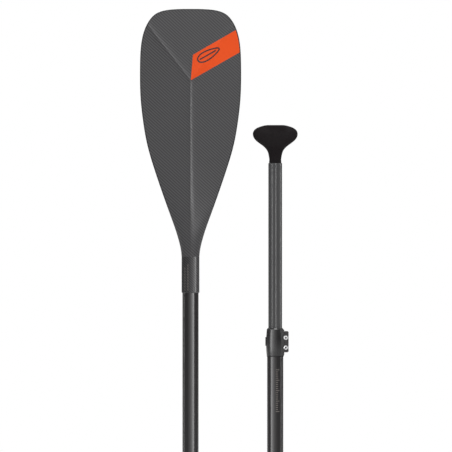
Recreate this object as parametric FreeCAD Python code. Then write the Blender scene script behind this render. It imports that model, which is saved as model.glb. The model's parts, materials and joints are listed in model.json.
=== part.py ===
"""Take-apart adjustable single-blade paddle, stored as two sections that stand side by side.

The blade section is the blade, its neck and the lower shaft. The handle section is the middle
tube with its plug-in ferrule, the lever clamp, the telescoping extension and the palm grip.

Frame, in millimetres: +Z up the shafts, +X from the blade section to the handle section, and -Y
out of the blade's ridged front face. The origin is the centre of the blade section's open lower
end, which is the mouth of the socket for the ferrule, on the surface that both sections stand on.
"""

import FreeCAD, Part
import math
import os

V = FreeCAD.Vector
UP = V(0, 0, 1)
BACK = V(0, 1, 0)
RIGHT = V(1, 0, 0)

# Shafts
SHAFT_R = 14.5            # the standard 29 mm shaft
SHAFT_WALL = 1.15
BORE_R = SHAFT_R - SHAFT_WALL
NECK_SHAFT_R = 14.3       # the shaft is ground down where the neck sleeve covers it
SOCKET_R = 12.85          # the wall is thicker at the socket
SOCKET_DEPTH = 64.0
EXTENSION_R = 12.35
EXTENSION_WALL = 1.25
EXTENSION_BORE_R = EXTENSION_R - EXTENSION_WALL
SLIDING_GAP = 0.05

# Blade section
THROAT_Z = 612.0          # where the blade springs from its neck
SHAFT_TOP_Z = 600.0
SLEEVE_R = 16.0
SLEEVE_BOTTOM_Z = 547.0
TIP_Z = 1059.0
WIDEST_Z = 934.0
HALF_WIDTH = 91.2
RAKE = math.tan(math.radians(8.0))   # the blade leans back from the shaft by 8 degrees
RAKE_BLEND = 90.0                    # height over which the lean sets in
FORK_Z = 930.0            # where the front ridge forks into a Y
FORK_END = (77.5, 1031.0)  # where a branch of the fork meets the edge
RIDGE_AT_FORK = 7.5       # front ridge height over the parting line, at the fork
EDGE_HALF = 1.5           # half the thickness of the blade's edge
SKIN = 1.0
EDGE_STRIP = 1.8          # width of the protective strip round the blade
OVERHANG = 0.6            # how far the blade's sections reach past the outline that trims them

# Handle section
HANDLE_X = 152.5
FERRULE_OUT = 60.0        # length of the ferrule below the middle tube
FERRULE_TOP_Z = 108.0
FERRULE_R = SOCKET_R - SLIDING_GAP
FERRULE_BOND_R = BORE_R - SLIDING_GAP    # where it is bonded into the middle tube
FERRULE_BORE_R = 11.6
MIDDLE_TOP_Z = 478.0
BUTTON_Z = 30.0
BUTTON_R = 3.4
BUTTON_TRAVEL = 2.6
BUTTON_OUT_R = FERRULE_R + BUTTON_TRAVEL
BUTTON_BACK_Y = -8.0
SPRING_THICK = 0.8
SPRING_WIDTH = 5.0
SPRING_TOP_Z = 62.0       # where the spring's legs meet its bend
EXTENSION_BOTTOM_Z = 300.0
EXTENSION_TOP_Z = 780.6
RIB_TOP_Z = 771.6
RIB_R = 13.25
RIB_WIDTH = 3.8
RIB_ANGLE = -83.6         # round the tube from +X, so just right of the front
STEM_BOTTOM_Z = 735.0
GLUE_GAP = 0.1            # round the grip's stem

# Clamp
COLLAR_BOTTOM_Z = 432.0
COLLAR_TOP_Z = 483.6
COLLAR_MID_R = 16.4
COLLAR_END_R = 15.1
SLIT = 2.4
FLANGE_X = (9.0, 16.3)
FLANGE_FRONT_Y = -12.5
FLANGE_BACK_Y = 8.5
TONGUE_END_X = 22.4
TONGUE_Z = (443.0, 475.0)
TONGUE_FRONT_Y = -9.2
CAP_END_X = 23.9
CAP_FRONT_Y = -11.2
CAP_Z = (440.0, 478.2)
NOTCH_R = 3.0             # hollow in the flange beside each screw
NOTCH_X = 15.4
SCREW_X = 19.0
SCREW_Z = (448.5, 466.3)
SCREW_R = 2.0
HEAD_R = 3.75
HEAD_HEIGHT = 2.2
WASHER_R = 4.0
WASHER_THICK = 0.6
PLATE_THICK = 0.7
BARREL_R = 3.5
HUB_R = 5.2
CAM_OFFSET = 0.45
PIVOT_Y = FLANGE_BACK_Y + PLATE_THICK + SLIDING_GAP + HUB_R + CAM_OFFSET
LEVER_Z = (441.5, 476.5)
LEVER_TIP_Z = (452.5, 466.5)


# Building blocks

def cylinder(radius, z0, z1, x=0.0, y=0.0):
    """Upright cylinder from height z0 to height z1."""
    return Part.makeCylinder(radius, z1 - z0, V(x, y, z0), UP)


def tube(outer, inner, z0, z1, x=0.0):
    """Upright tube from height z0 to height z1."""
    return cylinder(outer, z0, z1, x).cut(cylinder(inner, z0, z1, x))


def box(x, y, z):
    """Box between the two ends given for each direction."""
    return Part.makeBox(x[1] - x[0], y[1] - y[0], z[1] - z[0], V(x[0], y[0], z[0]))


def across(radius, y0, y1, x, z):
    """Cylinder along +Y from y0 to y1."""
    return Part.makeCylinder(radius, y1 - y0, V(x, y0, z), BACK)


def fuse(shapes):
    """One solid of several that meet."""
    whole = shapes[0].fuse(shapes[1:])
    return whole.removeSplitter()


def at_handle(shape):
    """Move a shape from the handle section's own axis to its place."""
    moved = shape.copy()
    moved.translate(V(HANDLE_X, 0, 0))
    return moved


def spline(points, closed=False):
    """Smooth edge through points."""
    curve = Part.BSplineCurve()
    curve.interpolate(points, PeriodicFlag=closed)
    return curve.toShape()


def ellipse_wire(a, b, z, steps=16):
    """Smooth closed section of half-width a and half-depth b."""
    turns = [2 * math.pi * i / steps for i in range(steps)]
    return Part.Wire([spline([V(a * math.cos(t), b * math.sin(t), z) for t in turns], True)])


def interpolate(table, z):
    """Value at height z, straight between rows of (height, value)."""
    if z <= table[0][0]:
        return table[0][1]
    for (z0, a), (z1, b) in zip(table, table[1:]):
        if z <= z1:
            return a + (b - a) * (z - z0) / (z1 - z0)
    return table[-1][1]


# Blade

# Half-width of the blade at the heights where its edge changes course, up to the nearly flat tip
EDGE_COURSE = [
    (THROAT_Z, SLEEVE_R), (625.0, 17.4), (642.0, 21.3), (663.0, 27.8), (685.0, 35.7),
    (728.0, 51.1), (771.0, 65.6), (814.0, 78.0), (858.0, 85.8), (900.0, 90.2),
    (WIDEST_Z, HALF_WIDTH), (968.0, 90.9), (998.0, 88.7), (1020.0, 83.5), (1038.0, 74.6),
    (1049.0, 64.4), (1055.4, 50.0), (1058.3, 30.0), (TIP_Z, 0.0),
]
# Ridge height over the parting line, front and back
FRONT_RIDGE = [(THROAT_Z, 16.0), (640.0, 14.4), (680.0, 11.8), (740.0, 9.9), (830.0, 8.6),
               (FORK_Z, RIDGE_AT_FORK), (1075.0, RIDGE_AT_FORK)]
BACK_RIDGE = [(THROAT_Z, 16.0), (640.0, 13.2), (680.0, 9.4), (740.0, 6.6), (830.0, 5.0),
              (FORK_Z, 4.2), (1075.0, 3.2)]
# How round a section is, from 1 in the neck to 0 where its faces are flat
ROUNDNESS = [(THROAT_Z, 1.0), (640.0, 0.8), (680.0, 0.4), (740.0, 0.1), (800.0, 0.0)]
STATIONS = [THROAT_Z, 626.0, 642.0, 662.0, 686.0, 714.0, 750.0, 800.0, 860.0, FORK_Z,
            990.0, 1070.0]


def lean(z):
    """How far back the blade's parting line lies at height z."""
    rise = z - THROAT_Z
    if rise <= 0:
        return 0.0
    if rise < RAKE_BLEND:
        return RAKE * rise * rise / (2 * RAKE_BLEND)
    return RAKE * (rise - RAKE_BLEND / 2)


def outline_wire(inset=0.0):
    """Closed outline of the blade in the plane of the shafts, or a line drawn in from it."""
    right = [V(half, 0, z) for z, half in EDGE_COURSE]
    left = [V(-half, 0, z) for z, half in EDGE_COURSE[-2::-1]]
    curve = spline(right + left).Curve
    points = []
    for point in right + left:
        along = curve.tangent(curve.parameter(point))[0]
        points.append(point + V(-along.z, 0, along.x) * inset)
    return Part.Wire([spline(points), Part.makeLine(points[-1], points[0])])


def outline_prism(wire):
    """Everything behind and in front of an outline."""
    face = Part.Face(wire)
    face.translate(V(0, -60, 0))
    return face.extrude(V(0, 200, 0))


def section_wire(z, inset):
    """Section of the blade at height z, drawn in by inset; it overhangs the outline a little."""
    half = interpolate(EDGE_COURSE, z) if z < WIDEST_Z else HALF_WIDTH
    half += OVERHANG - inset
    edge = max(EDGE_HALF - inset, 0.5)
    roundness = interpolate(ROUNDNESS, z)
    y0 = lean(z)

    def quarter(side, facing, ridge):
        points = []
        for i in range(7):
            u = math.sin(math.radians(15.0 * i))
            level = (1 - roundness) * (1 - u) + roundness * math.sqrt(max(1 - u * u, 0.0))
            points.append(V(side * half * u, y0 + facing * (edge + (ridge - edge) * level), z))
        return points

    front = interpolate(FRONT_RIDGE, z) - inset
    back = interpolate(BACK_RIDGE, z) - inset
    front_right = quarter(1, -1, front)
    back_right = quarter(1, 1, back)
    back_left = quarter(-1, 1, back)
    front_left = quarter(-1, -1, front)
    return Part.Wire([
        spline(front_right), Part.makeLine(front_right[-1], back_right[-1]),
        spline(back_right[::-1]), spline(back_left),
        Part.makeLine(back_left[-1], front_left[-1]), spline(front_left[::-1]),
    ])


def tip_facet_cut(inset):
    """Everything in front of the flat facet between the fork's branches and the tip."""
    fork_x, fork_z = FORK_END
    at_end = EDGE_HALF + (RIDGE_AT_FORK - EDGE_HALF) * (1 - fork_x / HALF_WIDTH)
    fall = (RIDGE_AT_FORK - at_end) / (fork_z - FORK_Z)

    def facet_y(z):
        return lean(z) - (RIDGE_AT_FORK - fall * (z - FORK_Z)) + inset

    low, high = FORK_Z - 60.0, TIP_Z + 20.0
    corners = [V(-120, facet_y(low), low), V(-120, facet_y(high), high),
               V(-120, -80, high), V(-120, -80, low)]
    return Part.Face(Part.makePolygon(corners + corners[:1])).extrude(V(240, 0, 0))


def blade_form(inset, prism):
    """The blade's whole form, or the form that lies inset inside it."""
    loft = Part.makeLoft([section_wire(z, inset) for z in STATIONS], True, False)
    return loft.common(prism).cut(tip_facet_cut(inset))


def front_half():
    """Everything in front of the parting line between the two skins."""
    heights = [THROAT_Z - 10.0] + STATIONS[1:] + [1090.0]
    parting = spline([V(-120, lean(z), z) for z in heights])
    top, bottom = heights[-1], heights[0]
    rest = Part.makePolygon([V(-120, lean(top), top), V(-120, -90, top),
                             V(-120, -90, bottom), V(-120, lean(bottom), bottom)])
    return Part.Face(Part.Wire([parting] + rest.Edges)).extrude(V(240, 0, 0))


def blade_tang():
    """Spar that is bonded into the shaft and runs up into the blade's core."""
    plug = cylinder(BORE_R, 556.0, SHAFT_TOP_Z)
    neck = Part.makeCone(11.0, 8.5, 40.0, V(0, 0, SHAFT_TOP_Z), UP)
    spar = Part.makeLoft([leaning_ellipse(8.0, 7.5, 630.0), leaning_ellipse(7.5, 5.5, 690.0)], True)
    return fuse([plug, neck, spar])


def leaning_ellipse(a, b, z):
    """Section that follows the blade's lean."""
    wire = ellipse_wire(a, b, z)
    wire.translate(V(0, lean(z), 0))
    return wire


def blade_nodes():
    """Core, two skins and edge strip of the blade, and its tang."""
    prism = outline_prism(outline_wire())
    inner_prism = outline_prism(outline_wire(EDGE_STRIP))
    whole = blade_form(0.0, prism)
    inner = blade_form(SKIN, inner_prism)
    tang = blade_tang()
    above_neck = box((-120, 120), (-90, 120), (700.0, 1090.0))
    strip = whole.cut(inner_prism).common(above_neck)
    skins = whole.cut(inner).cut(strip)
    front = front_half()
    shaft_top = cylinder(SHAFT_R, THROAT_Z - 1, THROAT_Z)
    core = inner.cut(tang).cut(shaft_top)
    return {
        "blade_core": core,
        "blade_front_skin": skins.common(front).cut(tang),
        "blade_back_skin": skins.cut(front).cut(tang),
        "edge_strip": strip,
        "blade_tang": tang,
    }


# Shafts

def lower_shaft():
    """Shaft of the blade section, with the socket and the hole that the snap button springs into."""
    body = fuse([cylinder(SHAFT_R, 0.0, SLEEVE_BOTTOM_Z),
                 cylinder(NECK_SHAFT_R, SLEEVE_BOTTOM_Z, SHAFT_TOP_Z)])
    hole = across(BUTTON_R + 0.1, -20.0, 0.0, 0.0, BUTTON_Z)
    socket = cylinder(SOCKET_R, 0.0, SOCKET_DEPTH)
    bore = cylinder(BORE_R, SOCKET_DEPTH, SHAFT_TOP_Z)
    return body.cut([hole, socket, bore])


def neck_sleeve():
    """Laminate sleeve that joins the shaft to the blade, closed over the shaft's top."""
    body = cylinder(SLEEVE_R, SLEEVE_BOTTOM_Z, THROAT_Z)
    body = body.makeChamfer(0.7, [body.Edges[2]])
    hollow = cylinder(NECK_SHAFT_R, SLEEVE_BOTTOM_Z, SHAFT_TOP_Z)
    return body.cut(hollow).cut(blade_tang())


def middle_tube():
    """Outer tube of the handle section, slit at the top so that the clamp can close it."""
    slit = box((-20.0, 20.0), (-0.8, 0.8), (COLLAR_BOTTOM_Z + 4.0, MIDDLE_TOP_Z))
    return tube(SHAFT_R, BORE_R, FERRULE_OUT, MIDDLE_TOP_Z).cut(slit)


def ferrule():
    """Joining tube, bonded in the middle tube, that plugs into the lower shaft."""
    plug = cylinder(FERRULE_R, 0.0, FERRULE_OUT)
    plug = plug.makeChamfer(0.8, [plug.Edges[2]])
    body = fuse([plug, cylinder(FERRULE_BOND_R, FERRULE_OUT, FERRULE_TOP_Z)])
    hole = across(BUTTON_R + SLIDING_GAP, -20.0, 0.0, 0.0, BUTTON_Z)
    return body.cut(cylinder(FERRULE_BORE_R, 0.0, FERRULE_TOP_Z)).cut(hole)


def snap_button():
    """Domed pin with a flange that keeps it inside the ferrule."""
    pin = across(BUTTON_R, -BUTTON_OUT_R, BUTTON_BACK_Y, 0.0, BUTTON_Z)
    rim = [edge for edge in pin.Edges if edge.CenterOfMass.y < 0.01 - BUTTON_OUT_R]
    flange = across(BUTTON_R + 1.0, BUTTON_BACK_Y - 1.0, BUTTON_BACK_Y, 0.0, BUTTON_Z)
    return fuse([pin.makeFillet(1.2, rim), flange])


def button_spring():
    """Hairpin leaf spring behind the button, drawn as the fully pressed button bends it."""
    front = BUTTON_BACK_Y + BUTTON_TRAVEL + SLIDING_GAP
    back = FERRULE_BORE_R - 0.4
    centre_y = (front + back) / 2
    radius = (back - front) / 2
    bend = Part.makeCylinder(radius, SPRING_WIDTH, V(-SPRING_WIDTH / 2, centre_y, SPRING_TOP_Z), RIGHT)
    hollow_r = radius - SPRING_THICK
    hollow = Part.makeCylinder(hollow_r, SPRING_WIDTH, V(-SPRING_WIDTH / 2, centre_y, SPRING_TOP_Z), RIGHT)
    across_x = (-SPRING_WIDTH / 2, SPRING_WIDTH / 2)
    upper = box(across_x, (-20.0, 20.0), (SPRING_TOP_Z, SPRING_TOP_Z + 20.0))
    bend = bend.cut(hollow).common(upper)
    front_leg = box(across_x, (front, front + SPRING_THICK), (22.0, SPRING_TOP_Z))
    back_leg = box(across_x, (back - SPRING_THICK, back), (18.0, SPRING_TOP_Z))
    return fuse([bend, front_leg, back_leg])


# Clamp

def rib_key(radius, width, z0, z1):
    """Bar that holds the extension's rib, or the keyway that is cut for it."""
    bar = box((0.0, radius), (-width / 2, width / 2), (z0, z1))
    bar.rotate(V(0, 0, 0), UP, RIB_ANGLE)
    return bar


def collar_barrel():
    """Bulging round body of the clamp's collar, closed in over the tube's top."""
    mid_z = (COLLAR_BOTTOM_Z + COLLAR_TOP_Z) / 2
    shoulder_z = COLLAR_TOP_Z - 2.6
    bottom = V(COLLAR_END_R, 0, COLLAR_BOTTOM_Z)
    shoulder = V(COLLAR_END_R, 0, shoulder_z)
    bulge = Part.Arc(bottom, V(COLLAR_MID_R, 0, mid_z), shoulder).toShape()
    lip = [shoulder, V(13.4, 0, COLLAR_TOP_Z), V(12.9, 0, COLLAR_TOP_Z),
           V(12.9, 0, MIDDLE_TOP_Z + 2.2), V(SHAFT_R, 0, MIDDLE_TOP_Z + 2.2),
           V(SHAFT_R, 0, COLLAR_BOTTOM_Z), bottom]
    wire = Part.Wire([bulge] + Part.makePolygon(lip).Edges)
    return Part.Face(wire).revolve(V(0, 0, 0), UP, 360)


def flange(y0, y1):
    """Flat-faced flange beside the collar's slit, with its outer corners cut off."""
    low, high = COLLAR_BOTTOM_Z + 0.8, COLLAR_TOP_Z - 1.4
    inner, outer = FLANGE_X
    corners = [(inner, low), (outer - 1.6, low), (outer, low + 3.0), (outer, high - 2.4),
               (outer - 2.0, high), (inner, high)]
    points = [V(x, y0, z) for x, z in corners]
    return Part.Face(Part.makePolygon(points + points[:1])).extrude(V(0, y1 - y0, 0))


def clamp_collar():
    """Split collar with a flange and a tongue on each side of its slit."""
    half = SLIT / 2
    parts = [
        collar_barrel(),
        flange(FLANGE_FRONT_Y, 0.0),
        flange(0.0, FLANGE_BACK_Y),
        box((FLANGE_X[0], TONGUE_END_X), (TONGUE_FRONT_Y, FLANGE_BACK_Y), TONGUE_Z),
    ]
    body = fuse(parts)
    cuts = [cylinder(SHAFT_R, COLLAR_BOTTOM_Z - 1, MIDDLE_TOP_Z + 2.2),
            cylinder(12.9, COLLAR_BOTTOM_Z - 1, COLLAR_TOP_Z + 1),
            box((0.0, 30.0), (-half, half), (COLLAR_BOTTOM_Z - 1, COLLAR_TOP_Z + 1)),
            rib_key(13.6, RIB_WIDTH + 0.6, COLLAR_BOTTOM_Z, COLLAR_TOP_Z + 1)]
    for z in SCREW_Z:
        cuts.append(across(SCREW_R + 0.1, -20.0, 20.0, SCREW_X, z))
        cuts.append(across(4.3, FLANGE_FRONT_Y - 1, TONGUE_FRONT_Y, SCREW_X, z))
        cuts.append(across(NOTCH_R, FLANGE_FRONT_Y - 1, TONGUE_FRONT_Y, NOTCH_X, z))
    return body.cut(cuts)


def clamp_liner():
    """Split inner bush that the collar closes on the extension, with a keyway for its rib."""
    sleeve = tube(BORE_R, EXTENSION_R + SLIDING_GAP, 440.0, MIDDLE_TOP_Z)
    rim = tube(SHAFT_R, EXTENSION_R + SLIDING_GAP, MIDDLE_TOP_Z, MIDDLE_TOP_Z + 2.0)
    slit = box((0.0, 20.0), (-1.0, 1.0), (430.0, COLLAR_TOP_Z))
    keyway = rib_key(RIB_R + 0.15, RIB_WIDTH + 0.4, 430.0, COLLAR_TOP_Z)
    return fuse([sleeve, rim]).cut(slit).cut(keyway)


def front_cap():
    """Black moulded block over the front tongue, under the screw heads."""
    block = box((FLANGE_X[1] + 0.1, CAP_END_X), (CAP_FRONT_Y, -SLIT / 2), CAP_Z)
    outer = [e for e in block.Edges if e.CenterOfMass.x > CAP_END_X - 0.01]
    corners = [e for e in outer if abs(e.tangentAt(e.FirstParameter).y) > 0.9]
    block = block.makeFillet(2.4, corners)
    pocket = box((FLANGE_X[0], TONGUE_END_X), (TONGUE_FRONT_Y, 0.0), TONGUE_Z)
    cuts = [pocket] + [across(SCREW_R + 0.1, -20.0, 20.0, SCREW_X, z) for z in SCREW_Z]
    return block.cut(cuts)


def clamp_screw(z):
    """Socket-head screw from the front cap to the barrel nut."""
    seat_y = CAP_FRONT_Y - WASHER_THICK
    shank = across(SCREW_R, seat_y, PIVOT_Y + 2.0, SCREW_X, z)
    head = across(HEAD_R, seat_y - HEAD_HEIGHT, seat_y, SCREW_X, z)
    rim = [edge for edge in head.Edges if edge.CenterOfMass.y < seat_y - HEAD_HEIGHT + 0.01]
    head = head.makeFillet(0.9, rim)
    hexagon = [V(SCREW_X + 1.7 * math.cos(math.radians(60 * i + 30)), seat_y - HEAD_HEIGHT,
                 z + 1.7 * math.sin(math.radians(60 * i + 30))) for i in range(7)]
    socket = Part.Face(Part.makePolygon(hexagon)).extrude(V(0, 1.4, 0))
    return fuse([head, shank]).cut(socket)


def clamp_washer(z):
    """Flat washer under a screw head."""
    y0 = CAP_FRONT_Y - WASHER_THICK
    ring = across(WASHER_R, y0, CAP_FRONT_Y, SCREW_X, z)
    return ring.cut(across(SCREW_R + 0.1, y0, CAP_FRONT_Y, SCREW_X, z))


def barrel_nut():
    """Upright cross pin that the screws thread into and the lever turns on."""
    pin = cylinder(BARREL_R, LEVER_Z[0] - 0.5, LEVER_Z[1] + 0.5, SCREW_X, PIVOT_Y)
    return pin.cut([across(SCREW_R, 0.0, 30.0, SCREW_X, z) for z in SCREW_Z])


def thrust_plate():
    """Steel plate on the back tongue that the cam presses on."""
    y0 = FLANGE_BACK_Y
    plate = box((FLANGE_X[1] + 0.1, TONGUE_END_X), (y0, y0 + PLATE_THICK), LEVER_Z)
    return plate.cut([across(SCREW_R + 0.1, 0.0, 20.0, SCREW_X, z) for z in SCREW_Z])


def lever_outline():
    """Side outline of the lever: full height at the hub, narrow at the tip."""
    low, high = LEVER_Z
    tip_low, tip_high = LEVER_TIP_Z
    corners = [V(26, -10, low), V(26, -10, high), V(4, -10, high), V(-14, -10, tip_high + 1.2),
               V(-22, -10, tip_high), V(-22, -10, tip_low), V(-14, -10, tip_low - 1.2),
               V(4, -10, low)]
    return Part.Face(Part.makePolygon(corners + corners[:1])).extrude(V(0, 45, 0))


def clamp_lever():
    """Cam lever that wraps round the collar's back, its tip just showing at the left."""
    low, high = LEVER_Z
    hub = cylinder(HUB_R, low, high, SCREW_X, PIVOT_Y - CAM_OFFSET)
    for z in SCREW_Z:
        gap = box((SCREW_X - 8, SCREW_X + 8), (0.0, PIVOT_Y + 8), (z - 3.2, z + 3.2))
        hub = hub.cut(gap)
    arm = cylinder(19.0, low, high, 1.2, 1.2).cut(cylinder(COLLAR_MID_R + 0.4, low, high))
    start, end = math.radians(36.0), math.radians(187.0)
    reach = 60.0
    wedge = [V(0, 0, low), V(reach * math.cos(start), reach * math.sin(start), low),
             V(reach, reach, low), V(0, reach, low), V(-reach, reach, low),
             V(reach * math.cos(end), reach * math.sin(end), low)]
    sector = Part.Face(Part.makePolygon(wedge + wedge[:1])).extrude(V(0, 0, high - low))
    arm = arm.common(sector).common(lever_outline())
    return fuse([hub, arm]).cut(cylinder(BARREL_R + 0.04, low, high, SCREW_X, PIVOT_Y))


# Extension and grip

def extension_tube():
    """Inner tube with the raised rib that stops it turning in the clamp."""
    body = cylinder(EXTENSION_R, EXTENSION_BOTTOM_Z, EXTENSION_TOP_Z)
    body = body.makeChamfer(0.8, [body.Edges[0]])
    rib = rib_key(20.0, RIB_WIDTH, EXTENSION_BOTTOM_Z, RIB_TOP_Z)
    rib = rib.common(cylinder(RIB_R, EXTENSION_BOTTOM_Z, RIB_TOP_Z))
    bore = cylinder(EXTENSION_BORE_R, EXTENSION_BOTTOM_Z, EXTENSION_TOP_Z)
    return fuse([body, rib]).cut(bore)


def guide_bush():
    """Bush on the extension's lower end that runs in the middle tube."""
    foot = cylinder(BORE_R - SLIDING_GAP, EXTENSION_BOTTOM_Z - 8.0, EXTENSION_BOTTOM_Z)
    stem = cylinder(EXTENSION_BORE_R, EXTENSION_BOTTOM_Z, EXTENSION_BOTTOM_Z + 15.0)
    return fuse([foot, stem]).cut(cylinder(8.0, 280.0, 330.0))


# Palm grip sections: height, half-width, half-depth
GRIP_SECTIONS = [
    (EXTENSION_TOP_Z, EXTENSION_BORE_R, EXTENSION_BORE_R), (792.0, 11.4, 11.2),
    (800.4, 13.4, 11.8), (808.0, 18.4, 13.2), (816.0, 28.4, 14.8), (824.0, 37.2, 15.9),
    (832.8, 40.3, 15.6), (839.0, 38.4, 13.8), (844.0, 32.4, 11.2), (847.4, 23.0, 8.0),
    (849.0, 12.5, 4.4),
]


def palm_grip():
    """T-shaped palm grip with a stem that is glued into the extension."""
    head = Part.makeLoft([ellipse_wire(a, b, z) for z, a, b in GRIP_SECTIONS], True, False)
    stem = cylinder(EXTENSION_BORE_R - GLUE_GAP, STEM_BOTTOM_Z, EXTENSION_TOP_Z + 4.0)
    return fuse([head, stem])


def handle_nodes():
    """Every node of the handle section, still on its own axis."""
    return {
        "middle_tube": middle_tube(),
        "ferrule": ferrule(),
        "ferrule_plug": cylinder(FERRULE_BORE_R, FERRULE_TOP_Z - 20.0, FERRULE_TOP_Z - 4.0),
        "snap_button": snap_button(),
        "button_spring": button_spring(),
        "clamp_collar": clamp_collar(),
        "clamp_liner": clamp_liner(),
        "front_cap": front_cap(),
        "clamp_screws": Part.makeCompound([clamp_screw(z) for z in SCREW_Z]),
        "clamp_washers": Part.makeCompound([clamp_washer(z) for z in SCREW_Z]),
        "barrel_nut": barrel_nut(),
        "thrust_plate": thrust_plate(),
        "clamp_lever": clamp_lever(),
        "extension_tube": extension_tube(),
        "extension_plug": cylinder(EXTENSION_BORE_R, 330.0, 350.0),
        "guide_bush": guide_bush(),
        "palm_grip": palm_grip(),
    }


def main():
    os.makedirs("parts", exist_ok=True)
    nodes = blade_nodes()
    nodes["lower_shaft"] = lower_shaft()
    nodes["neck_sleeve"] = neck_sleeve()
    nodes["shaft_plug"] = cylinder(BORE_R, SOCKET_DEPTH + 6.0, SOCKET_DEPTH + 26.0)
    for name, shape in handle_nodes().items():
        nodes[name] = at_handle(shape)
    for name, shape in nodes.items():
        print(name, len(shape.Solids), shape.isValid(), round(shape.Volume, 1))
        shape.exportStep(f"parts/{name}.step")


main()
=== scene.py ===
"""Looks of the take-apart single-blade paddle: its two sections stand side by side.

Everything is in metres, in the frame of the CAD model: +Z up the shafts, -Y towards the viewer.
"""

import json
import math

import bmesh
import bpy
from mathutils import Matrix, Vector
from mathutils.bvhtree import BVHTree

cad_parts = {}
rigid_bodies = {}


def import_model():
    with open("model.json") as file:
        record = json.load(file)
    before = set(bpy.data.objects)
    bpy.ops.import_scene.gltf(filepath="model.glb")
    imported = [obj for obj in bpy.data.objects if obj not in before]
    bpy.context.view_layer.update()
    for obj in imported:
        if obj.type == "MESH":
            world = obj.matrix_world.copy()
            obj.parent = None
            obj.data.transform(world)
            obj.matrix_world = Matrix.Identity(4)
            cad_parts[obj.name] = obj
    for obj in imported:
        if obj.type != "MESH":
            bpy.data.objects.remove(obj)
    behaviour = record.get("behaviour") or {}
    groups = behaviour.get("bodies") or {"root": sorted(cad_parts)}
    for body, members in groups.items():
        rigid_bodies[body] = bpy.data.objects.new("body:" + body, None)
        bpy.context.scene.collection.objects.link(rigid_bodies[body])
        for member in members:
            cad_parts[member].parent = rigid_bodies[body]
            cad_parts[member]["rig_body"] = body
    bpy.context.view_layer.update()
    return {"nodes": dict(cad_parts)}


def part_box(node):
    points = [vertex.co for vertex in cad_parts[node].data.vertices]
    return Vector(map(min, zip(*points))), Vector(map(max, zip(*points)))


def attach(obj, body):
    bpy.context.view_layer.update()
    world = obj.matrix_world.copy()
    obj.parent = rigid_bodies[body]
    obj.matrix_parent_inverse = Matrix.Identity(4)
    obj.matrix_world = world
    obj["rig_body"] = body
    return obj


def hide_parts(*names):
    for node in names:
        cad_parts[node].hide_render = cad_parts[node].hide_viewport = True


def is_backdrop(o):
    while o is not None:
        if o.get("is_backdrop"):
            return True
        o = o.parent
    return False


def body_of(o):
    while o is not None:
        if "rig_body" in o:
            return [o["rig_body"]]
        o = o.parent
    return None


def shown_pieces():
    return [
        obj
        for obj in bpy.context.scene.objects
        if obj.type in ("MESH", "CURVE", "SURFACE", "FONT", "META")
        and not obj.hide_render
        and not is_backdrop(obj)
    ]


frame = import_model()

NODES = frame["nodes"]

# Places, worked out from the frame
SKIN_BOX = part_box("blade_front_skin")
TUBE_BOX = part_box("middle_tube")
COLLAR_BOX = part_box("clamp_collar")
HANDLE_X = (TUBE_BOX[0][0] + TUBE_BOX[1][0]) / 2
TUBE_R = (TUBE_BOX[1][0] - TUBE_BOX[0][0]) / 2
TIP_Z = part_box("edge_strip")[1][2]
THROAT_Z = SKIN_BOX[0][2]
SKIN_TOP_Z = SKIN_BOX[1][2]
FORK_Z = THROAT_Z + 0.318          # where the ridge on the front forks into a Y
FORK_END_X = 0.0775                # where a branch of the fork meets the blade's edge
FORK_END_Z = THROAT_Z + 0.419
NECK_END_Z = THROAT_Z + 0.13       # above here the blade's faces are flat

# Front face of the blade
FLARE = 0.0011                     # height of the flared ridge over the flat faces
FLARE_REACH = 0.0042               # distance in which most of the flare dies away
FLARE_RISE = 0.03                  # height above the throat in which the flare sets in
FRONT_THICK = 0.0009
EDGE_INSET = 0.00025               # keeps samples of the front clear of the skin's side wall
EDGE_PULLS = (0.000001, 0.00002, 0.0001, 0.0003)    # tried in turn where a ray slips past the edge
END_INSET = 0.00002                # keeps the first and last rows' samples on the skin
RAY_ROOM = 0.05                    # how far off the skin the rays start
WIDTH_HALVINGS = 26
SKIRT_LEAST = 0.0003               # the side of the neck ends where it would be narrower than this
SKIRT_FADE = 4.0                   # it keeps its depth down to a quarter of the neck's roundness
SPINE_ROWS = 80
FORK_ROWS = 26
TIP_ROWS = 22
SIDE_COLUMNS = 18
MID_COLUMNS = 24
CROWDING = 1.6                     # power that crowds a side's columns towards the ridge
MERGE_DISTANCE = 1e-6
CUT_DISTANCE = 1e-7
SHARP_DEG = 14.0                   # edges that turn by more than this are shaded sharp

# Painted panel: its corners (x, z), from the upper left, round by the blade's edge
PANEL = ((0.0044, 0.9761), (0.0803, 1.0200), (0.0880, 0.9802), (0.0004, 0.9300))

# Dull seam where the collar ends on the tube
SEAM_HEIGHT = 0.0012
SEAM_FADE = 0.0004

# Painted shade inside the hexagon sockets of the clamp screws
SOCKET_R = 0.0018
SOCKET_SHADE_DEPTH = 0.0002               # depth below the head's face at which the painted shade sets in
SCREW_GREY = (0.62, 0.62, 0.63)
# colour of the painted shade in the sockets
SOCKET_SHADE_GREY = (0.03, 0.03, 0.03)

# Printed marks
INK_PROUD = 0.00005
INK_THICK = 0.0002
LEAF_CENTRE = (0.0325, 0.9765)
LEAF_SLANT = 30.0
LEAF_LENGTH = 0.044
LEAF_WIDTH = 0.0155
LEAF_PROUD = 0.0003                # clears the crease that the leaf lies across
LEAF_THICK = 0.0006
LEAF_STEPS = 48
LEAF_TAPER = 0.35                  # share by which the leaf narrows towards its tip
MIDRIB_BACK = 0.42                 # how far behind the leaf's centre the midrib starts, in leaf lengths
MIDRIB_STEPS = 30                  # points in a whole leaf's length
MIDRIB_POINTS = 24
STROKE = 0.0022
SCALE_BOTTOM_Z = 0.333
SCALE_STEP = 0.00375
SCALE_TICKS = 21
TICK_HEIGHT = 0.0011
TICK_START_DEG = 5.0
SHORT_TICK_DEG = 20.0
LONG_TICK_DEG = 31.0
LONG_TICK_EVERY = 5
DASH_COLUMNS = ((-41.0, 8), (-19.0, 9))    # bearing of each column, and how many dashes it has
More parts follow.
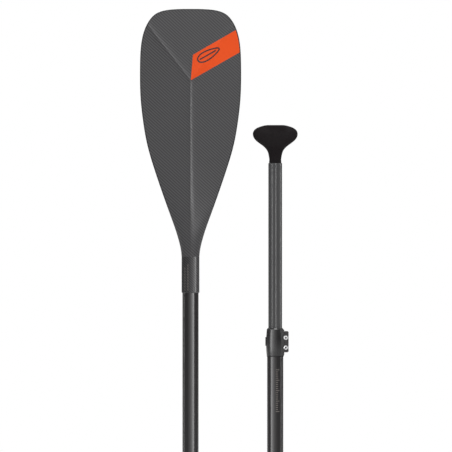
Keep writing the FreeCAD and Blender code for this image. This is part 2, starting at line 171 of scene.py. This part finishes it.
DASH_START = 0.004
DASH_STEP = 0.0054
DASH_FILL = 0.72
DASH_DEG = 4.5
PATCH_STEPS = 4

# Weave
TWILL_DEG = 48
BLADE_PITCH = 0.0041
SLEEVE_PITCH = 0.0032
THREAD_SHARE = 0.25                # how strongly cross threads break up the ribs

# Camera
LENS_MM = 1000.0
SENSOR_MM = 36.0
VIEW_SIZE = 0.8136                 # width and height of the view at the shafts
VIEW_CENTRE = Vector((0.0639, 0.0, TIP_Z - 0.3917))

# Floor
FLOOR_R = 12.0
FLOOR_PLAIN_R = 1.5
FLOOR_BRIGHT_R = 6.0

# Light
WORLD_LOW = 0.05                   # strength near the horizon
WORLD_LOW_RISE = 0.05              # sine of the height up to which it holds
WORLD_HIGH = 0.8                   # strength overhead
WORLD_HIGH_RISE = 0.9
FRONT_WATTS = 122.0
STRIP_DISTANCE = 3.0
STRIP_HEIGHT = 3.2
STRIPS = 4                         # in a row of fading strips
FADING_WIDTH = 1.1
FADING_HEIGHT = 3.4
FADE = 0.42                        # strength of each fading strip, as a share of the one before


# Shader helpers

def new_material(name, base, roughness, metallic=0.0, coat=0.0, coat_roughness=0.1, specular=0.5):
    """Material with one Principled shader; returns its node helper."""
    material = bpy.data.materials.new(name)
    material.use_nodes = True
    shader = material.node_tree.nodes["Principled BSDF"]
    shader.inputs["Base Color"].default_value = (*base, 1.0)
    shader.inputs["Roughness"].default_value = roughness
    shader.inputs["Metallic"].default_value = metallic
    shader.inputs["Coat Weight"].default_value = coat
    shader.inputs["Coat Roughness"].default_value = coat_roughness
    shader.inputs["Specular IOR Level"].default_value = specular
    return Shader(material, shader)


class Shader:
    """Short calls for the few node kinds that the materials use."""

    def __init__(self, material, shader):
        self.material = material
        self.tree = material.node_tree
        self.shader = shader
        coordinates = self.tree.nodes.new("ShaderNodeTexCoord")
        self.position = coordinates.outputs["Object"]

    def node(self, kind, **settings):
        made = self.tree.nodes.new(kind)
        for name, value in settings.items():
            setattr(made, name, value)
        return made

    def put(self, value, socket):
        """Feeds a socket with another node's output, or with a plain value."""
        if isinstance(value, bpy.types.NodeSocket):
            self.tree.links.new(value, socket)
        else:
            socket.default_value = value

    def math(self, operation, a, b=0.0, c=0.0):
        made = self.node("ShaderNodeMath", operation=operation)
        for value, socket in zip((a, b, c), made.inputs):
            self.put(value, socket)
        return made.outputs[0]

    def axes(self):
        split = self.node("ShaderNodeSeparateXYZ")
        self.put(self.position, split.inputs[0])
        return split.outputs[0], split.outputs[1], split.outputs[2]

    def noise(self, scale, detail=3.0, stretch=(1.0, 1.0, 1.0)):
        mapping = self.node("ShaderNodeMapping")
        self.put(self.position, mapping.inputs["Vector"])
        mapping.inputs["Scale"].default_value = stretch
        made = self.node("ShaderNodeTexNoise")
        self.put(mapping.outputs[0], made.inputs["Vector"])
        made.inputs["Scale"].default_value = scale
        made.inputs["Detail"].default_value = detail
        return made.outputs["Fac"]

    def ramp(self, value, low, high, out_low=0.0, out_high=1.0):
        made = self.node("ShaderNodeMapRange", interpolation_type="SMOOTHSTEP")
        for name, number in (("Value", value), ("From Min", low), ("From Max", high),
                             ("To Min", out_low), ("To Max", out_high)):
            self.put(number, made.inputs[name])
        return made.outputs["Result"]

    def mix(self, factor, a, b):
        made = self.node("ShaderNodeMix", data_type="RGBA")
        self.put(factor, made.inputs["Factor"])
        for value, name in ((a, "A"), (b, "B")):
            sockets = [s for s in made.inputs if s.name == name and s.type == "RGBA"]
            self.put(value if isinstance(value, bpy.types.NodeSocket) else (*value, 1.0), sockets[0])
        return [s for s in made.outputs if s.type == "RGBA"][0]

    def bump(self, height, strength, distance):
        made = self.node("ShaderNodeBump")
        made.inputs["Strength"].default_value = strength
        made.inputs["Distance"].default_value = distance
        self.put(height, made.inputs["Height"])
        self.put(made.outputs["Normal"], self.shader.inputs["Normal"])

    def colour(self, value):
        self.put(value, self.shader.inputs["Base Color"])

    def roughness(self, value):
        self.put(value, self.shader.inputs["Roughness"])

    def worn(self, scale, low, high):
        """Roughness that wanders between two values, as handling leaves it."""
        self.roughness(self.ramp(self.noise(scale, 4.0), 0.35, 0.65, low, high))


def scaled(colour, factor):
    return tuple(channel * factor for channel in colour)


# Floor, light and camera

def add_camera():
    data = bpy.data.cameras.new("camera")
    data.lens = LENS_MM
    data.sensor_width = SENSOR_MM
    data.clip_end = 200.0
    camera = bpy.data.objects.new("camera", data)
    distance = VIEW_SIZE * LENS_MM / SENSOR_MM
    camera.location = VIEW_CENTRE + Vector((0, -distance, 0))
    camera.rotation_euler = (math.pi / 2, 0, 0)
    bpy.context.scene.collection.objects.link(camera)
    bpy.context.scene.camera = camera


def add_floor():
    """Pale disc that turns as bright as the backdrop far from the object."""
    mesh = bpy.data.meshes.new("floor")
    disc = bmesh.new()
    bmesh.ops.create_circle(disc, cap_ends=True, segments=96, radius=FLOOR_R)
    disc.to_mesh(mesh)
    disc.free()
    floor = bpy.data.objects.new("floor", mesh)
    bpy.context.scene.collection.objects.link(floor)
    shader = new_material("floor", (0.9, 0.9, 0.9), 0.9, specular=0.1)
    shader.colour(shader.mix(shader.noise(3.0), (0.88, 0.88, 0.88), (0.90, 0.90, 0.90)))
    x, y, _ = shader.axes()
    away = shader.math("SQRT", shader.math("ADD", shader.math("MULTIPLY", x, x),
                                           shader.math("MULTIPLY", y, y)))
    glow = shader.node("ShaderNodeEmission")
    blend = shader.node("ShaderNodeMixShader")
    shader.put(shader.ramp(away, FLOOR_PLAIN_R, FLOOR_BRIGHT_R), blend.inputs[0])
    shader.put(shader.shader.outputs[0], blend.inputs[1])
    shader.put(glow.outputs[0], blend.inputs[2])
    output = shader.tree.nodes["Material Output"]
    shader.put(blend.outputs[0], output.inputs["Surface"])
    mesh.materials.append(shader.material)
    floor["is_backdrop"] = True


def add_world():
    """White backdrop; what lights the object is dimmer at the horizon than overhead."""
    world = bpy.data.worlds.new("world")
    world.use_nodes = True
    tree = world.node_tree
    backdrop = tree.nodes["Background"]
    backdrop.inputs["Color"].default_value = (1, 1, 1, 1)
    light = tree.nodes.new("ShaderNodeBackground")
    coordinates = tree.nodes.new("ShaderNodeTexCoord")
    split = tree.nodes.new("ShaderNodeSeparateXYZ")
    height = tree.nodes.new("ShaderNodeMapRange")
    height.inputs["From Min"].default_value = WORLD_LOW_RISE
    height.inputs["From Max"].default_value = WORLD_HIGH_RISE
    height.inputs["To Min"].default_value = WORLD_LOW
    height.inputs["To Max"].default_value = WORLD_HIGH
    path = tree.nodes.new("ShaderNodeLightPath")
    mix = tree.nodes.new("ShaderNodeMixShader")
    tree.links.new(coordinates.outputs["Generated"], split.inputs[0])
    tree.links.new(split.outputs[2], height.inputs["Value"])
    tree.links.new(height.outputs["Result"], light.inputs["Strength"])
    tree.links.new(path.outputs["Is Camera Ray"], mix.inputs[0])
    tree.links.new(light.outputs[0], mix.inputs[1])
    tree.links.new(backdrop.outputs[0], mix.inputs[2])
    tree.links.new(mix.outputs[0], tree.nodes["World Output"].inputs["Surface"])
    bpy.context.scene.world = world
    bpy.context.scene.view_settings.view_transform = "Standard"


def add_area(name, bearing, rise, distance, width, height, power, centre_z=0.6, only=None):
    """Softbox aimed at the object; bearing is in degrees round to the right of the camera's side."""
    data = bpy.data.lights.new(name, "AREA")
    data.shape = "RECTANGLE"
    data.size = width
    data.size_y = height
    data.energy = power
    light = bpy.data.objects.new(name, data)
    turn, lift = math.radians(bearing), math.radians(rise)
    target = Vector((0.5 * HANDLE_X, 0.0, centre_z))
    away = Vector((math.sin(turn) * math.cos(lift), -math.cos(turn) * math.cos(lift), math.sin(lift)))
    light.location = target + away * distance
    light.rotation_euler = (-away).to_track_quat("-Z", "Y").to_euler()
    bpy.context.scene.collection.objects.link(light)
    if only:
        light.light_linking.receiver_collection = only


def lit_group(name, chosen):
    """Collection of the pieces that a light falls on."""
    group = bpy.data.collections.new(name)
    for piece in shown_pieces():
        if chosen(piece):
            group.objects.link(piece)
    return group


def add_strip(name, bearing, width, watts, only, height=STRIP_HEIGHT):
    """Tall light that stands level with the object."""
    add_area(name, bearing, 0.0, STRIP_DISTANCE, width, height, watts, only=only)


def add_fading_strips(name, start, turn, watts, only):
    """Row of tall strips from one bearing on, each weaker than the last."""
    for i in range(STRIPS):
        add_strip(f"{name}_{i}", start + turn * i, FADING_WIDTH, watts * FADE ** i, only, FADING_HEIGHT)


def add_lights():
    """Soft light for all, and tall strips that draw each shaft's highlights."""
    sleeve_names = ("neck_sleeve", "neck_marks")

    def on_blade(piece):
        return (body_of(piece)[0] == "blade_section"
                and piece.name not in ("lower_shaft",) + sleeve_names)

    blade = lit_group("lit_blade", on_blade)
    shaft = lit_group("lit_shaft", lambda p: p.name == "lower_shaft")
    sleeve = lit_group("lit_sleeve", lambda p: p.name in sleeve_names)
    extension = lit_group("lit_extension", lambda p: p.name == "extension_tube")
    handle_bodies = ("handle_section", "lever", "button")
    handle = lit_group("lit_handle", lambda p: body_of(p)[0] in handle_bodies)
    add_area("front", 12.0, 58.0, 5.0, 2.5, 2.5, FRONT_WATTS)
    add_area("back", 180.0, 30.0, 4.5, 1.8, 1.8, 60.0)
    add_area("blade_glint", 32.0, 24.0, 3.5, 0.5, 1.2, 20.0, 0.9, blade)
    add_fading_strips("shaft_strip", 41.0, -21.0, 78.0, shaft)
    add_fading_strips("sleeve_strip", 68.0, -24.0, 66.0, sleeve)
    add_strip("shaft_left", -108.0, 0.2, 14.0, shaft)
    add_fading_strips("handle_strip", -53.0, 21.0, 74.0, handle)
    add_strip("handle_right", 93.0, 0.2, 14.0, handle)
    add_strip("extension_left", -53.0, 0.4, 24.0, extension)
    add_strip("extension_front", 12.0, 0.25, 19.0, extension)
    add_strip("extension_right", 98.0, 0.3, 18.0, extension)


# Front of the blade

def surface_tree(name):
    mesh = NODES[name].data
    corners = [v.co for v in mesh.vertices]
    return BVHTree.FromPolygons(corners, [p.vertices for p in mesh.polygons])


def front_at(tree, x, z):
    """Y of the CAD skin's front at (x, z), or None past its edge."""
    start = Vector((x, SKIN_BOX[0][1] - RAY_ROOM, z))
    hit = tree.ray_cast(start, Vector((0, 1, 0)))[0]
    return hit.y if hit else None


def neck_share(z):
    """How much of the neck's roundness is left at height z: 1 at the throat, 0 on the flat blade."""
    return max(1 - (z - THROAT_Z) / (NECK_END_Z - THROAT_Z), 0.0)


def front_y(tree, x, z):
    """Y of the front at (x, z), taken a little further in where a ray slips past the edge."""
    for pull in EDGE_PULLS:
        inset = pull + EDGE_INSET * (1 - neck_share(z))
        y = front_at(tree, math.copysign(abs(abs(x) - inset), x), z - inset)
        if y is not None:
            return y


def parting_y(tree, half, z):
    """Y of the skin's rim, where the back laminate takes over, at height z."""
    start = Vector((half - EDGE_INSET, SKIN_BOX[1][1] + RAY_ROOM, z))
    return tree.ray_cast(start, Vector((0, -1, 0)))[0].y


def half_width(tree, z):
    """Half the skin's width at height z."""
    inside, outside = 0.0, SKIN_BOX[1][0] + 0.001
    for _ in range(WIDTH_HALVINGS):
        middle = (inside + outside) / 2
        if front_at(tree, middle, z) is None:
            outside = middle
        else:
            inside = middle
    return inside


def to_segment(x, z, start, end):
    """Distance from (x, z) to the line between two points."""
    run = Vector((end[0] - start[0], end[1] - start[1]))
    place = Vector((x - start[0], z - start[1]))
    along = min(max(place.dot(run) / run.length_squared, 0.0), 1.0)
    return (place - run * along).length


def flare(x, z):
    """How far the hollow-ground faces rise to the ridge of the Y at (x, z)."""
    fork = (0.0, FORK_Z)
    reach = min(to_segment(abs(x), z, (0.0, THROAT_Z), fork),
                to_segment(abs(x), z, fork, (FORK_END_X, FORK_END_Z)))
    rise = min(max((z - THROAT_Z) / FLARE_RISE, 0.0), 1.0)
    return FLARE * rise * math.exp(-reach / FLARE_REACH)


def row_heights():
    """Heights of the front's rows, closer together towards the nearly flat tip."""
    rows = [THROAT_Z + (FORK_Z - THROAT_Z) * i / SPINE_ROWS for i in range(SPINE_ROWS)]
    rows += [FORK_Z + (FORK_END_Z - FORK_Z) * i / FORK_ROWS for i in range(FORK_ROWS)]
    return rows + [SKIN_TOP_Z - (SKIN_TOP_Z - FORK_END_Z) * (1 - i / TIP_ROWS) ** 2
                   for i in range(TIP_ROWS + 1)]


def row_columns(z, half):
    """Places across one row: left face, facet between the fork's branches, right face."""
    branch = min(max((z - FORK_Z) / (FORK_END_Z - FORK_Z), 0.0) * FORK_END_X, half)
    neck = neck_share(z)
    side = []
    for i in range(SIDE_COLUMNS + 1):
        t = i / SIDE_COLUMNS
        spread = (1 - neck) * t ** CROWDING + neck * math.sin(math.pi / 2 * t)
        side.append(branch + (half - branch) * spread)
    middle = [branch * math.sin(math.pi / 2 * (2 * i / MID_COLUMNS - 1))
              for i in range(1, MID_COLUMNS)]
    return [-x for x in side[::-1]] + middle + side


def add_skirt(sheet, edge, rims):
    """Side of the round neck, from one edge of the front sheet back to the skin's rim."""
    pairs = []
    for corner, rim in zip(edge, rims):
        x, y, z = corner.co
        depth = (rim - y) * min(SKIRT_FADE * neck_share(z), 1.0)
        if depth < SKIRT_LEAST:
            break
        pairs.append((corner, sheet.verts.new((x, y + depth, z))))
    for low, high in zip(pairs, pairs[1:]):
        sheet.faces.new((low[0], low[1], high[1], high[0]))


def front_mesh():
    """Front face of the blade as one sheet, with its rows' columns along the ridge of the Y."""
    tree = surface_tree("blade_front_skin")
    sheet = bmesh.new()
    rows, rims = [], []
    for z in row_heights():
        level = min(max(z, THROAT_Z + END_INSET), SKIN_TOP_Z - END_INSET)
        half = half_width(tree, level)
        row = []
        for x in row_columns(z, half):
            row.append(sheet.verts.new((x, front_y(tree, x, level) - flare(x, z), z)))
        rows.append(row)
        rims.append(parting_y(tree, half, level))
    for low, high in zip(rows, rows[1:]):
        for i in range(len(low) - 1):
            sheet.faces.new((low[i], low[i + 1], high[i + 1], high[i]))
    add_skirt(sheet, [row[0] for row in rows], rims)
    add_skirt(sheet, [row[-1] for row in rows], rims)
    bmesh.ops.remove_doubles(sheet, verts=sheet.verts, dist=MERGE_DISTANCE)
    return sheet


def cut_panel(sheet):
    """Cuts the sheet along the panel's free sides and returns the faces inside."""
    centre = sum((Vector((x, 0, z)) for x, z in PANEL), Vector()) / 4
    sides = [(PANEL[3], PANEL[0]), (PANEL[0], PANEL[1]), (PANEL[2], PANEL[3])]
    planes = []
    for (x0, z0), (x1, z1) in sides:
        normal = Vector((z1 - z0, 0, x0 - x1)).normalized()
        point = Vector((x0, 0, z0))
        if (centre - point).dot(normal) < 0:
            normal = -normal
        planes.append((point, normal))
    for point, normal in planes:
        bmesh.ops.bisect_plane(sheet, geom=sheet.verts[:] + sheet.edges[:] + sheet.faces[:],
                               dist=CUT_DISTANCE, plane_co=point, plane_no=normal)
    return [face for face in sheet.faces
            if all((face.calc_center_median() - point).dot(normal) > 0 for point, normal in planes)]


def finished_piece(name, solid, material, body):
    """Smooth-shaded piece with its ridges kept sharp."""
    mesh = bpy.data.meshes.new(name)
    bmesh.ops.recalc_face_normals(solid, faces=solid.faces)
    solid.to_mesh(mesh)
    solid.free()
    mesh.shade_smooth()
    mesh.set_sharp_from_angle(angle=math.radians(SHARP_DEG))
    mesh.materials.append(material)
    piece = bpy.data.objects.new(name, mesh)
    bpy.context.scene.collection.objects.link(piece)
    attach(piece, body)
    return piece


def finished_sheet(name, sheet, material, thickness=FRONT_THICK):
    """Piece of the blade made by thickening a sheet backwards from its front."""
    bmesh.ops.recalc_face_normals(sheet, faces=sheet.faces)
    front = sum(face.normal.y * face.calc_area() for face in sheet.faces)
    if front > 0:
        bmesh.ops.reverse_faces(sheet, faces=sheet.faces)
    bmesh.ops.solidify(sheet, geom=sheet.faces[:], thickness=thickness)
    return finished_piece(name, sheet, material, "blade_section")


# Printed marks

def add_stroke(sheet, tree, points, width):
    """Printed line along (x, z) points, laid on the blade's front face."""
    pairs = []
    for i, (x, z) in enumerate(points):
        before = points[max(i - 1, 0)]
        after = points[min(i + 1, len(points) - 1)]
        along = Vector((after[0] - before[0], after[1] - before[1])).normalized()
        pair = []
        for side in (-0.5, 0.5):
            px = x - along.y * width * side
            pz = z + along.x * width * side
            py = front_y(tree, px, pz) - flare(px, pz) - LEAF_PROUD
            pair.append(sheet.verts.new((px, py, pz)))
        pairs.append(pair)
    for low, high in zip(pairs, pairs[1:]):
        sheet.faces.new((low[0], low[1], high[1], high[0]))


def add_leaf_mark(ink):
    """Plain leaf with a midrib, printed on the panel."""
    tree = surface_tree("blade_front_skin")
    slant = math.radians(LEAF_SLANT)

    def placed(along, across):
        return (LEAF_CENTRE[0] + along * math.cos(slant) - across * math.sin(slant),
                LEAF_CENTRE[1] + along * math.sin(slant) + across * math.cos(slant))

    outline = []
    for i in range(LEAF_STEPS + 1):
        turn = 2 * math.pi * i / LEAF_STEPS
        across = LEAF_WIDTH / 2 * math.sin(turn) * (1 - LEAF_TAPER * math.cos(turn))
        outline.append(placed(LEAF_LENGTH / 2 * math.cos(turn), across))
    midrib = [placed(LEAF_LENGTH * (i / MIDRIB_STEPS - MIDRIB_BACK), 0.0)
              for i in range(MIDRIB_POINTS)]
    sheet = bmesh.new()
    add_stroke(sheet, tree, outline, STROKE)
    add_stroke(sheet, tree, midrib, STROKE)
    finished_sheet("leaf_mark", sheet, ink, LEAF_THICK)


def add_patch(solid, axis_x, radius, angles, heights):
    """Thin curved bar on a shaft; angles are in degrees to the right of its front."""
    corners = []
    for reach in (radius - INK_THICK, radius + INK_PROUD):
        for z in heights:
            line = []
            for i in range(PATCH_STEPS + 1):
                turn = math.radians(angles[0] + (angles[1] - angles[0]) * i / PATCH_STEPS)
                place = (axis_x + reach * math.sin(turn), -reach * math.cos(turn), z)
                line.append(solid.verts.new(place))
            corners.append(line)
    inner_low, inner_high, outer_low, outer_high = corners
    for i in range(PATCH_STEPS):
        for a, b in ((outer_low, outer_high), (outer_high, inner_high),
                     (inner_high, inner_low), (inner_low, outer_low)):
            solid.faces.new((a[i], a[i + 1], b[i + 1], b[i]))
    for i in (0, PATCH_STEPS):
        solid.faces.new((outer_low[i], outer_high[i], inner_high[i], inner_low[i]))


def add_tube_scale(ink):
    """Row of plain ticks up the middle tube, right of its front."""
    solid = bmesh.new()
    for i in range(SCALE_TICKS):
        z = SCALE_BOTTOM_Z + SCALE_STEP * i
        end = SHORT_TICK_DEG if i % LONG_TICK_EVERY else LONG_TICK_DEG
        add_patch(solid, HANDLE_X, TUBE_R, (TICK_START_DEG, end), (z, z + TICK_HEIGHT))
    finished_piece("tube_scale", solid, ink, "handle_section")


def add_neck_marks(ink):
    """Two columns of plain dashes on the neck sleeve, left of its front."""
    low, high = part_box("neck_sleeve")
    radius = (high.x - low.x) / 2
    solid = bmesh.new()
    for angle, count in DASH_COLUMNS:
        for i in range(count):
            z = low.z + DASH_START + DASH_STEP * i
            add_patch(solid, 0.0, radius, (angle, angle + DASH_DEG), (z, z + DASH_STEP * DASH_FILL))
    finished_piece("neck_marks", solid, ink, "blade_section")


def add_blade_front(laminate, paint):
    """Hollow-ground front laminate in place of the CAD skin, and the painted panel in it."""
    sheet = front_mesh()
    inside = cut_panel(sheet)
    for face in sheet.faces:
        face.tag = False
    for face in inside:
        face.tag = True
    panel = sheet.copy()
    bmesh.ops.delete(sheet, geom=[f for f in sheet.faces if f.tag], context="FACES")
    bmesh.ops.delete(panel, geom=[f for f in panel.faces if not f.tag], context="FACES")
    front = finished_sheet("blade_front", sheet, laminate)
    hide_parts("blade_front_skin")
    finished_sheet("blade_panel", panel, paint)


# Materials

def stripes(shader, pitch):
    """Slanting ribs of a twill weave, from -1 to 1, which cross threads break up."""
    angle = math.radians(TWILL_DEG)
    x, _, z = shader.axes()
    rib_place = shader.math("ADD", shader.math("MULTIPLY", x, math.cos(angle) / pitch),
                            shader.math("MULTIPLY", z, math.sin(angle) / pitch))
    rib = shader.math("SINE", shader.math("MULTIPLY", rib_place, 2 * math.pi))
    thread_x = shader.math("SINE", shader.math("MULTIPLY", x, 4 * math.pi / pitch))
    thread_z = shader.math("SINE", shader.math("MULTIPLY", z, 4 * math.pi / pitch))
    threads = shader.math("MULTIPLY", thread_x, thread_z)
    return shader.math("MULTIPLY_ADD", threads, THREAD_SHARE, rib)


def blade_material(name, pitch, dark, light, roughness, bump=0.10):
    """Satin-coated twill whose weave is clearer in some places than in others."""
    shader = new_material(name, dark, roughness, coat=0.6, coat_roughness=0.22, specular=0.15)
    tone = shader.ramp(stripes(shader, pitch), -0.9, 0.9)
    cloud = shader.noise(9.0, 3.0)
    middle = tuple((a + b) / 2 for a, b in zip(dark, light))
    weave = shader.mix(tone, dark, light)
    shader.colour(shader.mix(shader.ramp(cloud, 0.3, 0.7, 0.0, 0.2), weave, middle))
    shader.bump(tone, bump, 0.0002)
    shader.roughness(shader.ramp(cloud, 0.35, 0.65, roughness * 0.9, roughness * 1.1))
    return shader.material


def lacquer(name, base, roughness, coat_roughness):
    """Clear-coated carbon tube: faint lengthwise fibre under a glossy coat."""
    shader = new_material(name, base, roughness, coat=1.0, coat_roughness=coat_roughness, specular=0.1)
    fibre = shader.noise(260.0, 3.0, (1.0, 1.0, 0.02))
    shader.colour(shader.mix(fibre, scaled(base, 0.75), scaled(base, 1.35)))
    shader.worn(14.0, roughness * 0.8, roughness * 1.25)
    return shader.material


def moulded(name, base, roughness, coat=0.0, specular=0.5, seam_z=None):
    """Moulded plastic with a fine grain; below height seam_z it has no coat, so it is dull."""
    shader = new_material(name, base, roughness, coat=coat, coat_roughness=0.24, specular=specular)
    shader.colour(shader.mix(shader.noise(60.0), scaled(base, 0.85), scaled(base, 1.2)))
    shader.bump(shader.noise(900.0, 2.0), 0.06, 0.0002)
    shader.worn(30.0, roughness * 0.85, roughness * 1.2)
    if seam_z:
        _, _, z = shader.axes()
        coated = shader.ramp(z, seam_z, seam_z + SEAM_FADE, 0.0, coat)
        shader.put(coated, shader.shader.inputs["Coat Weight"])
    return shader.material


def metal(name, base, roughness):
    """Shader of turned or brushed steel."""
    shader = new_material(name, base, roughness, metallic=1.0)
    lines = shader.noise(1500.0, 2.0, (1.0, 0.1, 1.0))
    shader.bump(lines, 0.06, 0.0001)
    shader.colour(shader.mix(lines, scaled(base, 0.85), base))
    shader.worn(200.0, roughness * 0.8, roughness * 1.3)
    return shader


def screw_steel():
    """Steel of the clamp screws, with painted shade inside their hexagon sockets."""
    shader = metal("screw_steel", SCREW_GREY, 0.3)
    low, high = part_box("clamp_screws")
    head_r = (high.x - low.x) / 2
    x, y, z = shader.axes()
    across = shader.math("SUBTRACT", x, (low.x + high.x) / 2)
    nearest = 1.0
    for centre_z in (low.z + head_r, high.z - head_r):
        up = shader.math("SUBTRACT", z, centre_z)
        reach = shader.math("SQRT", shader.math("ADD", shader.math("MULTIPLY", across, across),
                                                shader.math("MULTIPLY", up, up)))
        nearest = shader.math("MINIMUM", nearest, reach)
    inside = shader.math("LESS_THAN", nearest, SOCKET_R)
    sunk = shader.math("GREATER_THAN", y, low.y + SOCKET_SHADE_DEPTH)
    # painted shade: the sockets' insides are coloured dark where shade would fall
    shader.colour(shader.mix(shader.math("MULTIPLY", inside, sunk), SCREW_GREY, SOCKET_SHADE_GREY))
    return shader.material


def foam():
    """Closed-cell core foam."""
    shader = new_material("foam", (0.72, 0.68, 0.58), 0.85)
    cells = shader.noise(700.0, 2.0)
    shader.colour(shader.mix(cells, (0.62, 0.58, 0.48), (0.80, 0.76, 0.66)))
    shader.bump(cells, 0.4, 0.0005)
    return shader.material


def panel_paint():
    """Orange paint under the clear coat, with a hint of the weave below it."""
    shader = new_material("panel_paint", (0.80, 0.078, 0.009), 0.42, coat=0.5, coat_roughness=0.22,
                          specular=0.12)
    shader.colour(shader.mix(shader.noise(25.0), (0.76, 0.070, 0.007), (0.84, 0.086, 0.010)))
    shader.bump(stripes(shader, BLADE_PITCH), 0.03, 0.0002)
    shader.worn(20.0, 0.38, 0.46)
    return shader.material


def dress(materials):
    """Gives each CAD node its material."""
    for node, material in materials.items():
        mesh = NODES[node].data
        mesh.materials.clear()
        mesh.materials.append(material)


def main():
    blade = blade_material("blade_twill", BLADE_PITCH, (0.050, 0.049, 0.051), (0.094, 0.093, 0.096), 0.42)
    sleeve = blade_material("sleeve_twill", SLEEVE_PITCH, (0.011, 0.0105, 0.0115),
                            (0.060, 0.0595, 0.061), 0.36, bump=0.25)
    gloss = lacquer("shaft_lacquer", (0.0085, 0.0075, 0.008), 0.45, 0.2)
    grey_tube = lacquer("extension_lacquer", (0.057, 0.057, 0.058), 0.4, 0.2)
    satin = lacquer("ferrule_laminate", (0.045, 0.045, 0.047), 0.4, 0.2)
    clamp = moulded("clamp_nylon", (0.012, 0.0115, 0.012), 0.45, coat=1.0, specular=0.1,
                    seam_z=COLLAR_BOX[0][2] + SEAM_HEIGHT)
    black = moulded("cap_nylon", (0.016, 0.014, 0.015), 0.4)
    grip = moulded("grip_rubberised", (0.0115, 0.0090, 0.0098), 0.85, specular=0.2)
    bush = moulded("bush_acetal", (0.05, 0.05, 0.05), 0.5)
    steel = metal("stainless", (0.80, 0.80, 0.81), 0.24).material
    foamed = foam()
    add_blade_front(blade, panel_paint())
    add_leaf_mark(moulded("panel_ink", (0.012, 0.013, 0.015), 0.5))
    shaft_ink = moulded("shaft_ink", (0.14, 0.125, 0.115), 0.5)
    add_tube_scale(shaft_ink)
    add_neck_marks(shaft_ink)
    dress({
        "blade_front_skin": blade, "blade_back_skin": blade, "neck_sleeve": sleeve,
        "edge_strip": moulded("edge_plastic", (0.022, 0.022, 0.024), 0.35),
        "lower_shaft": gloss, "middle_tube": gloss, "extension_tube": grey_tube,
        "ferrule": satin, "blade_tang": satin, "clamp_collar": clamp, "clamp_lever": clamp,
        "front_cap": black, "palm_grip": grip, "clamp_liner": bush, "guide_bush": bush,
        "clamp_screws": screw_steel(), "clamp_washers": steel, "barrel_nut": steel,
        "thrust_plate": steel, "snap_button": steel, "button_spring": steel,
        "blade_core": foamed, "shaft_plug": foamed, "ferrule_plug": foamed,
        "extension_plug": foamed,
    })
    add_camera()
    add_floor()
    add_world()
    add_lights()


main()
